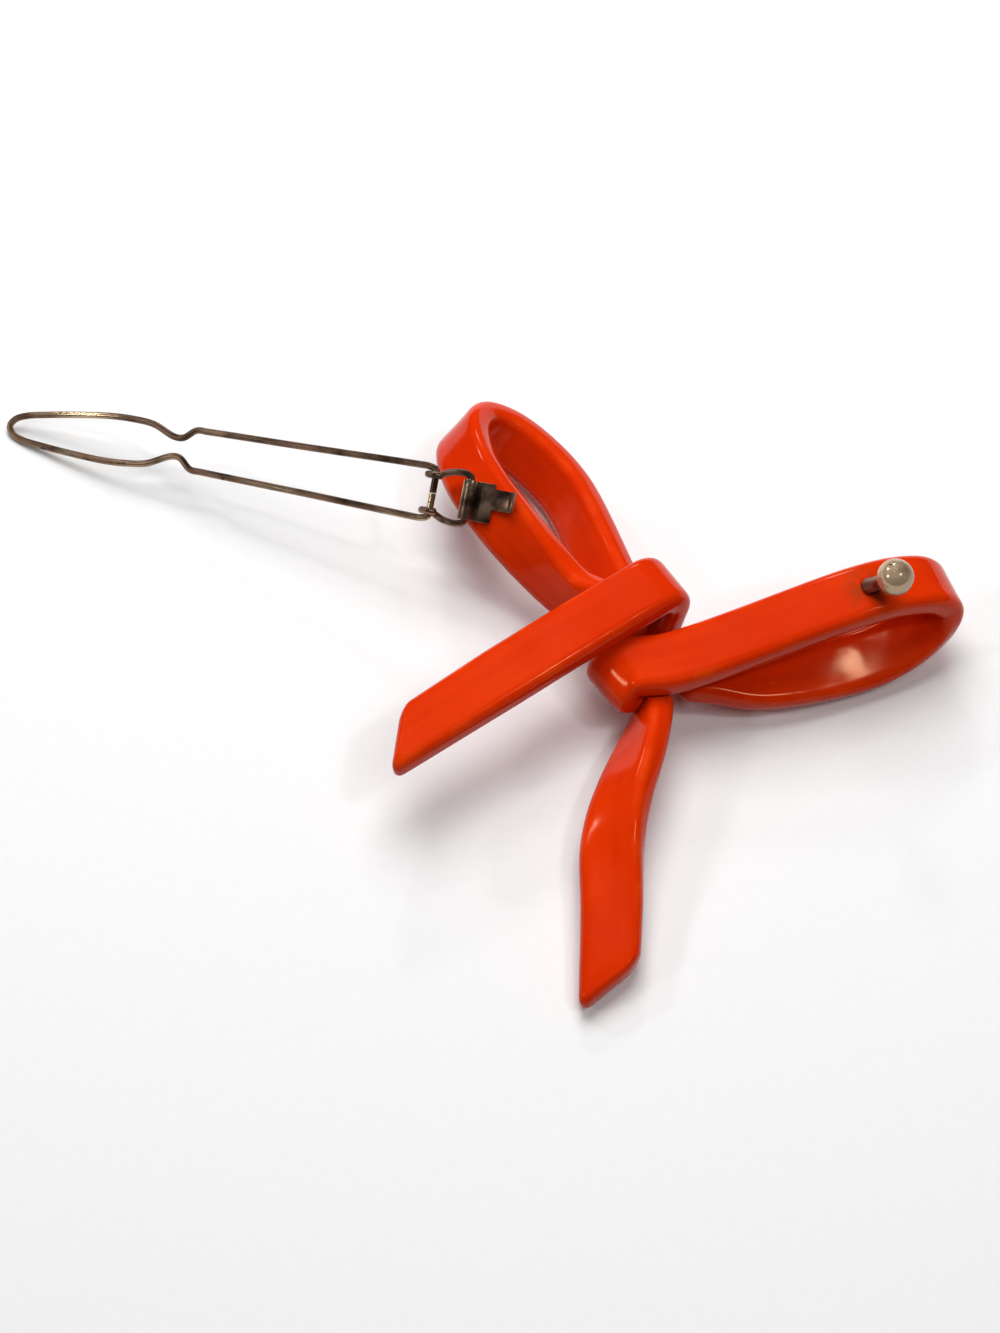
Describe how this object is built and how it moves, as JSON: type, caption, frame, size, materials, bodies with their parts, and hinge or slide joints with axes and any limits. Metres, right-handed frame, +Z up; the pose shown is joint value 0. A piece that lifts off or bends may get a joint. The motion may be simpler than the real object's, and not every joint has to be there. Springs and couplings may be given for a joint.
{
  "type": "bow barrette",
  "caption": "Bow-shaped hair barrette bent from glossy plastic bar, with a hinged wire clip that swings over the back and snaps under a ball catch.",
  "frame": {"origin": "on the table, under the middle of the front tail's crossing, on the flat underside of the knot", "axes": "+Z up from the table, +X from the open clip's tip towards the ball catch, +Y towards the left loop"},
  "size_m": [0.1074, 0.0646, 0.0184],
  "materials": {
    "left_loop": "polished",
    "right_loop": "polished",
    "front_tail": "polished",
    "back_tail": "polished",
    "hinge_strap": "aged, dark bronze",
    "hinge_tack": "aged, dark bronze",
    "hinge_ring": "aged, dark bronze",
    "clip_wire": "aged, dark bronze",
    "catch_post": "aged, dark bronze",
    "catch_ball": "aged, dark bronze"
  },
  "bodies": {
    "bow": {"left_loop": "left_loop", "right_loop": "right_loop", "front_tail": "front_tail", "back_tail": "back_tail", "hinge_strap": "hinge_strap", "hinge_tack": "hinge_tack", "catch_post": "catch_post", "catch_ball": "catch_ball"},
    "ring": {"hinge_ring": "hinge_ring"},
    "clip": {"clip_wire": "clip_wire"}
  },
  "joints": [
    {"name": "ring_swing", "type": "hinge", "parent": "bow", "child": "ring", "pos_m": [-0.01882, 0.00741, 0.01192], "axis": [-0.0354, 0.8554, 0.5167], "range_deg": [0, 100]},
    {"name": "clip_swing", "type": "hinge", "parent": "ring", "child": "clip", "pos_m": [-0.02262, 0.00725, 0.01192], "axis": [-0.0354, 0.8554, 0.5167], "range_deg": [0, 94.8]}
  ]
}
